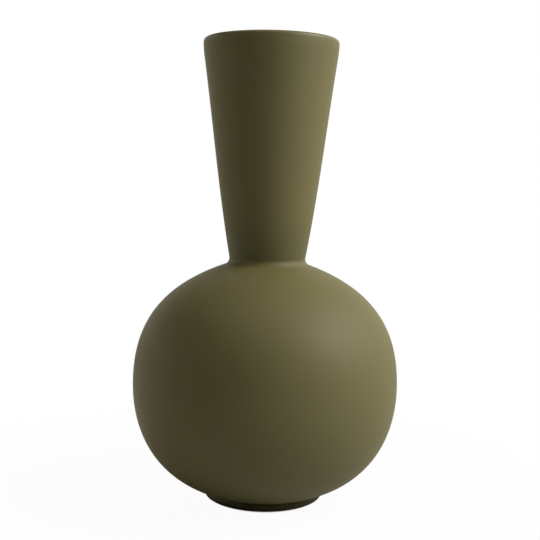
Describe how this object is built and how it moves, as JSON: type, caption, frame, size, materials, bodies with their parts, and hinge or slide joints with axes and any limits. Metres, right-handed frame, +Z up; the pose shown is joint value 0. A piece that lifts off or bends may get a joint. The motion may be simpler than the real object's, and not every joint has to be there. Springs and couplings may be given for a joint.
{
  "type": "trumpet vase",
  "caption": "Free-standing ceramic flower vase: a globe body on a low foot ring, with a tall trumpet-shaped neck that flares to a soft round lip.",
  "frame": {"origin": "middle of the base, on the surface that the vase stands on", "axes": "+Z up along the vase's axis; seen as in the picture, +X is to the right and +Y is away"},
  "size_m": [0.1624, 0.1624, 0.2804],
  "materials": {
    "neck_glaze": "matt olive glaze with a faint satin sheen",
    "globe_glaze": "matt olive glaze with a faint satin sheen",
    "foot_glaze": "matt olive glaze, wiped thin at the bottom edge",
    "pad_rubber": "matt black"
  },
  "bodies": {
    "root": {"trumpet_neck": "neck_glaze", "globe_body": "globe_glaze", "foot_ring": "foot_glaze", "foot_pad_1": "pad_rubber", "foot_pad_2": "pad_rubber", "foot_pad_3": "pad_rubber", "foot_pad_4": "pad_rubber"}
  },
  "joints": []
}
